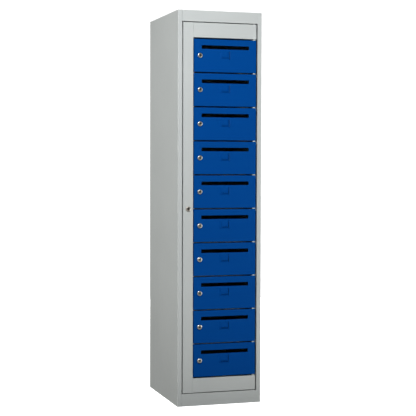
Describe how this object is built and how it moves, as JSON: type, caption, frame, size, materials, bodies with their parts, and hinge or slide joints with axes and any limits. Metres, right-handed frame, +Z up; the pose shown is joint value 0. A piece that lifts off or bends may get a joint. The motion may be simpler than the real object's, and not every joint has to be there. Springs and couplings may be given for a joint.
{
  "type": "distribution locker",
  "caption": "Tall sheet-steel distribution locker with small lockable letter-slot doors hung in one full-height service door.",
  "frame": {"origin": "on the floor, at the middle of the carcass's footprint", "axes": "+X to the right seen from the front, +Y to the back, +Z up; doors shut, every lock turned to open"},
  "size_m": [0.4, 0.5055, 1.8],
  "materials": {
    "grey_paint": "light grey powder coat, fine texture, semi-matt",
    "blue_paint": "gentian blue powder coat, fine texture, semi-matt",
    "nickel": "polished nickel plate",
    "plug_nickel": "satin nickel plate",
    "zinc_steel": "bright zinc plate",
    "nylon": "black nylon"
  },
  "bodies": {
    "carcass": {"left_side_panel": "grey_paint", "right_side_panel": "grey_paint", "back_panel": "grey_paint", "roof_panel": "grey_paint", "base_panel": "grey_paint", "compartment_floors": "grey_paint", "service_hinge_pins": "zinc_steel", "service_strike_plate": "zinc_steel"},
    "service_door": {"lock_stile": "grey_paint", "hinge_stile": "grey_paint", "top_rail": "grey_paint", "bottom_rail": "grey_paint", "door_hinge_lugs": "grey_paint", "door_hinge_pins": "zinc_steel", "service_lock_housing": "nickel", "rod_guides": "nylon"},
    "service_lock": {"service_lock_plug": "plug_nickel", "service_lock_disc": "zinc_steel"},
    "upper_rod": {"upper_latch_rod": "zinc_steel"},
    "lower_rod": {"lower_latch_rod": "zinc_steel"},
    "door_01": {"door_panel_01": "blue_paint", "lock_housing_01": "nickel"},
    "lock_01": {"lock_plug_01": "plug_nickel", "lock_cam_01": "zinc_steel"},
    "door_02": {"door_panel_02": "blue_paint", "lock_housing_02": "nickel"},
    "lock_02": {"lock_plug_02": "plug_nickel", "lock_cam_02": "zinc_steel"},
    "door_03": {"door_panel_03": "blue_paint", "lock_housing_03": "nickel"},
    "lock_03": {"lock_plug_03": "plug_nickel", "lock_cam_03": "zinc_steel"},
    "door_04": {"door_panel_04": "blue_paint", "lock_housing_04": "nickel"},
    "lock_04": {"lock_plug_04": "plug_nickel", "lock_cam_04": "zinc_steel"},
    "door_05": {"door_panel_05": "blue_paint", "lock_housing_05": "nickel"},
    "lock_05": {"lock_plug_05": "plug_nickel", "lock_cam_05": "zinc_steel"},
    "door_06": {"door_panel_06": "blue_paint", "lock_housing_06": "nickel"},
    "lock_06": {"lock_plug_06": "plug_nickel", "lock_cam_06": "zinc_steel"},
    "door_07": {"door_panel_07": "blue_paint", "lock_housing_07": "nickel"},
    "lock_07": {"lock_plug_07": "plug_nickel", "lock_cam_07": "zinc_steel"},
    "door_08": {"door_panel_08": "blue_paint", "lock_housing_08": "nickel"},
    "lock_08": {"lock_plug_08": "plug_nickel", "lock_cam_08": "zinc_steel"},
    "door_09": {"door_panel_09": "blue_paint", "lock_housing_09": "nickel"},
    "lock_09": {"lock_plug_09": "plug_nickel", "lock_cam_09": "zinc_steel"},
    "door_10": {"door_panel_10": "blue_paint", "lock_housing_10": "nickel"},
    "lock_10": {"lock_plug_10": "plug_nickel", "lock_cam_10": "zinc_steel"}
  },
  "joints": [
    {"name": "service_door_hinge", "type": "hinge", "parent": "carcass", "child": "service_door", "pos_m": [0.164, -0.244, 0.90225], "axis": [0, 0, 1], "range_deg": [0, 110]},
    {"name": "service_lock_turn", "type": "hinge", "parent": "service_door", "child": "service_lock", "pos_m": [-0.151, -0.25, 0.90225], "axis": [0, -1, 0], "range_deg": [0, 90]},
    {"name": "upper_rod_slide", "type": "slide", "parent": "service_door", "child": "upper_rod", "axis": [0, 0, 1], "range_m": [0, 0.0184]},
    {"name": "lower_rod_slide", "type": "slide", "parent": "service_door", "child": "lower_rod", "axis": [0, 0, -1], "range_m": [0, 0.0184]},
    {"name": "door_01_hinge", "type": "hinge", "parent": "service_door", "child": "door_01", "pos_m": [0.164, -0.244, 1.5975], "axis": [0, 0, -1], "range_deg": [-110, 0]},
    {"name": "lock_01_turn", "type": "hinge", "parent": "door_01", "child": "lock_01", "pos_m": [-0.096, -0.25, 1.5975], "axis": [0, -1, 0], "range_deg": [0, 90]},
    {"name": "door_02_hinge", "type": "hinge", "parent": "service_door", "child": "door_02", "pos_m": [0.164, -0.244, 1.443], "axis": [0, 0, -1], "range_deg": [-110, 0]},
    {"name": "lock_02_turn", "type": "hinge", "parent": "door_02", "child": "lock_02", "pos_m": [-0.096, -0.25, 1.443], "axis": [0, -1, 0], "range_deg": [0, 90]},
    {"name": "door_03_hinge", "type": "hinge", "parent": "service_door", "child": "door_03", "pos_m": [0.164, -0.244, 1.2885], "axis": [0, 0, -1], "range_deg": [-110, 0]},
    {"name": "lock_03_turn", "type": "hinge", "parent": "door_03", "child": "lock_03", "pos_m": [-0.096, -0.25, 1.2885], "axis": [0, -1, 0], "range_deg": [0, 90]},
    {"name": "door_04_hinge", "type": "hinge", "parent": "service_door", "child": "door_04", "pos_m": [0.164, -0.244, 1.134], "axis": [0, 0, -1], "range_deg": [-110, 0]},
    {"name": "lock_04_turn", "type": "hinge", "parent": "door_04", "child": "lock_04", "pos_m": [-0.096, -0.25, 1.134], "axis": [0, -1, 0], "range_deg": [0, 90]},
    {"name": "door_05_hinge", "type": "hinge", "parent": "service_door", "child": "door_05", "pos_m": [0.164, -0.244, 0.9795], "axis": [0, 0, -1], "range_deg": [-110, 0]},
    {"name": "lock_05_turn", "type": "hinge", "parent": "door_05", "child": "lock_05", "pos_m": [-0.096, -0.25, 0.9795], "axis": [0, -1, 0], "range_deg": [0, 90]},
    {"name": "door_06_hinge", "type": "hinge", "parent": "service_door", "child": "door_06", "pos_m": [0.164, -0.244, 0.825], "axis": [0, 0, -1], "range_deg": [-110, 0]},
    {"name": "lock_06_turn", "type": "hinge", "parent": "door_06", "child": "lock_06", "pos_m": [-0.096, -0.25, 0.825], "axis": [0, -1, 0], "range_deg": [0, 90]},
    {"name": "door_07_hinge", "type": "hinge", "parent": "service_door", "child": "door_07", "pos_m": [0.164, -0.244, 0.6705], "axis": [0, 0, -1], "range_deg": [-110, 0]},
    {"name": "lock_07_turn", "type": "hinge", "parent": "door_07", "child": "lock_07", "pos_m": [-0.096, -0.25, 0.6705], "axis": [0, -1, 0], "range_deg": [0, 90]},
    {"name": "door_08_hinge", "type": "hinge", "parent": "service_door", "child": "door_08", "pos_m": [0.164, -0.244, 0.516], "axis": [0, 0, -1], "range_deg": [-110, 0]},
    {"name": "lock_08_turn", "type": "hinge", "parent": "door_08", "child": "lock_08", "pos_m": [-0.096, -0.25, 0.516], "axis": [0, -1, 0], "range_deg": [0, 90]},
    {"name": "door_09_hinge", "type": "hinge", "parent": "service_door", "child": "door_09", "pos_m": [0.164, -0.244, 0.3615], "axis": [0, 0, -1], "range_deg": [-110, 0]},
    {"name": "lock_09_turn", "type": "hinge", "parent": "door_09", "child": "lock_09", "pos_m": [-0.096, -0.25, 0.3615], "axis": [0, -1, 0], "range_deg": [0, 90]},
    {"name": "door_10_hinge", "type": "hinge", "parent": "service_door", "child": "door_10", "pos_m": [0.164, -0.244, 0.207], "axis": [0, 0, -1], "range_deg": [-110, 0]},
    {"name": "lock_10_turn", "type": "hinge", "parent": "door_10", "child": "lock_10", "pos_m": [-0.096, -0.25, 0.207], "axis": [0, -1, 0], "range_deg": [0, 90]}
  ],
  "couplings": [
    {"joint": "service_lock_turn", "follows": "upper_rod_slide", "rad_per_m": 85.369},
    {"joint": "lower_rod_slide", "follows": "upper_rod_slide", "ratio": 1}
  ]
}
